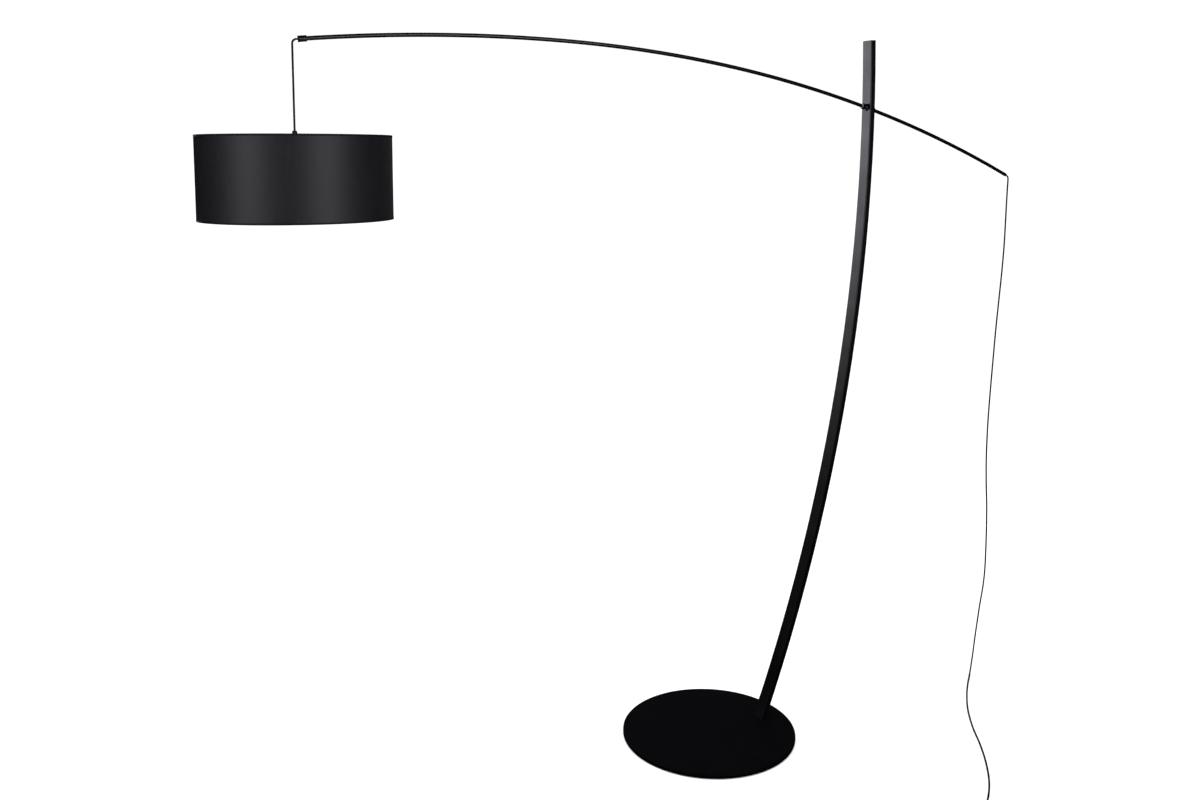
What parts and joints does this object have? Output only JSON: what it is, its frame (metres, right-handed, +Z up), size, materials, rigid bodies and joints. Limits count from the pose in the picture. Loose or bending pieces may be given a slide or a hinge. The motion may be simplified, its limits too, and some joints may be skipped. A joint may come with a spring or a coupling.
{
  "type": "arc floor lamp",
  "caption": "Arc floor lamp: long bowed arm sliding through a clamp in a bowed flat post on a steel disc base, with a drum shade hanging on its flex, floor switch and plug.",
  "frame": {"origin": "centre of the underside of the round base, on the floor", "axes": "+X from the base towards the arm's tail, with the shade towards -X; +Z up; the post and the arm lie in the XZ plane"},
  "size_m": [2.4459, 0.9555, 2.0134],
  "materials": {
    "powder_coat": "fine-textured black powder coat, satin",
    "post_paint": "satin black paint",
    "gloss_paint": "smooth black paint with a soft gloss",
    "bare_steel": "zinc-plated steel",
    "brass": "plain brass",
    "black_plastic": "moulded black plastic",
    "nylon": "natural nylon",
    "ceramic": "unglazed white",
    "felt": "pressed black felt",
    "shade_fabric": "charcoal fabric laminated on a stiff sheet, fine grain with a soft sheen",
    "flex": "matt black flex",
    "opal_glass": "opal, satin"
  },
  "bodies": {
    "stand": {"base_plate": "powder_coat", "base_pad": "felt", "foot_block": "bare_steel", "foot_bolt_left": "bare_steel", "foot_bolt_right": "bare_steel", "post_tube": "post_paint", "post_cap": "black_plastic", "clamp_flange_front": "gloss_paint", "clamp_flange_rear": "gloss_paint", "clamp_sleeve": "gloss_paint", "clamp_liner": "nylon", "clamp_lock_nut": "gloss_paint", "mains_cord_drop": "flex", "switch_lower": "black_plastic", "switch_upper": "black_plastic", "switch_contact_block": "nylon", "mains_cord_link": "flex", "mains_cord_coil": "flex", "coil_tie": "black_plastic", "mains_cord_end": "flex", "plug_body": "black_plastic", "plug_pin_left": "brass", "plug_pin_right": "brass"},
    "clamp_nut": {"clamp_nut": "gloss_paint"},
    "arm": {"arm_tube_rear": "gloss_paint", "arm_tube_middle": "gloss_paint", "arm_tube_front": "gloss_paint", "arm_joint_rear": "bare_steel", "arm_joint_front": "bare_steel", "arm_cable": "flex", "tip_cap": "gloss_paint", "tip_cord_screw": "bare_steel", "tail_bung": "black_plastic"},
    "cord_bend": {"pendant_cord_bend": "flex"},
    "pendant": {"pendant_cord": "flex", "cord_grip": "black_plastic", "lampholder_cap": "black_plastic", "lampholder_skirt": "black_plastic", "lampholder_core": "ceramic", "screw_shell": "brass", "centre_contact": "brass", "shade_ring_upper": "black_plastic", "shade_ring_lower": "black_plastic", "bulb_contact": "brass", "bulb_base": "bare_steel", "bulb_glass": "opal_glass", "shade_drum": "shade_fabric", "shade_frame": "powder_coat", "shade_bottom_ring": "powder_coat"},
    "switch_button": {"switch_button": "black_plastic"}
  },
  "joints": [
    {"name": "arm_slide", "type": "hinge", "parent": "stand", "child": "arm", "pos_m": [-0.59795, 0, -2.08611], "axis": [0, 1, 0], "range_deg": [-3, 3], "deforming": ["mains_cord_drop"]},
    {"name": "clamp_nut_turn", "type": "hinge", "parent": "stand", "child": "clamp_nut", "pos_m": [0.50453, 0, 1.82243], "axis": [-0.9611, 0, 0.2761], "range_deg": [0, 360]},
    {"name": "pendant_sway", "type": "hinge", "parent": "arm", "child": "cord_bend", "pos_m": [-1.12759, 0, 1.94841], "axis": [-0.9942, 0, -0.1073], "range_deg": [-25, 25]},
    {"name": "pendant_swing", "type": "hinge", "parent": "cord_bend", "child": "pendant", "pos_m": [-1.13896, 0, 1.93775], "axis": [0, 1, 0], "range_deg": [-25, 25]},
    {"name": "switch_press", "type": "slide", "parent": "stand", "child": "switch_button", "axis": [0, 0, -1], "range_m": [0, 0.0025], "stiffness_N_per_m": 800}
  ]
}
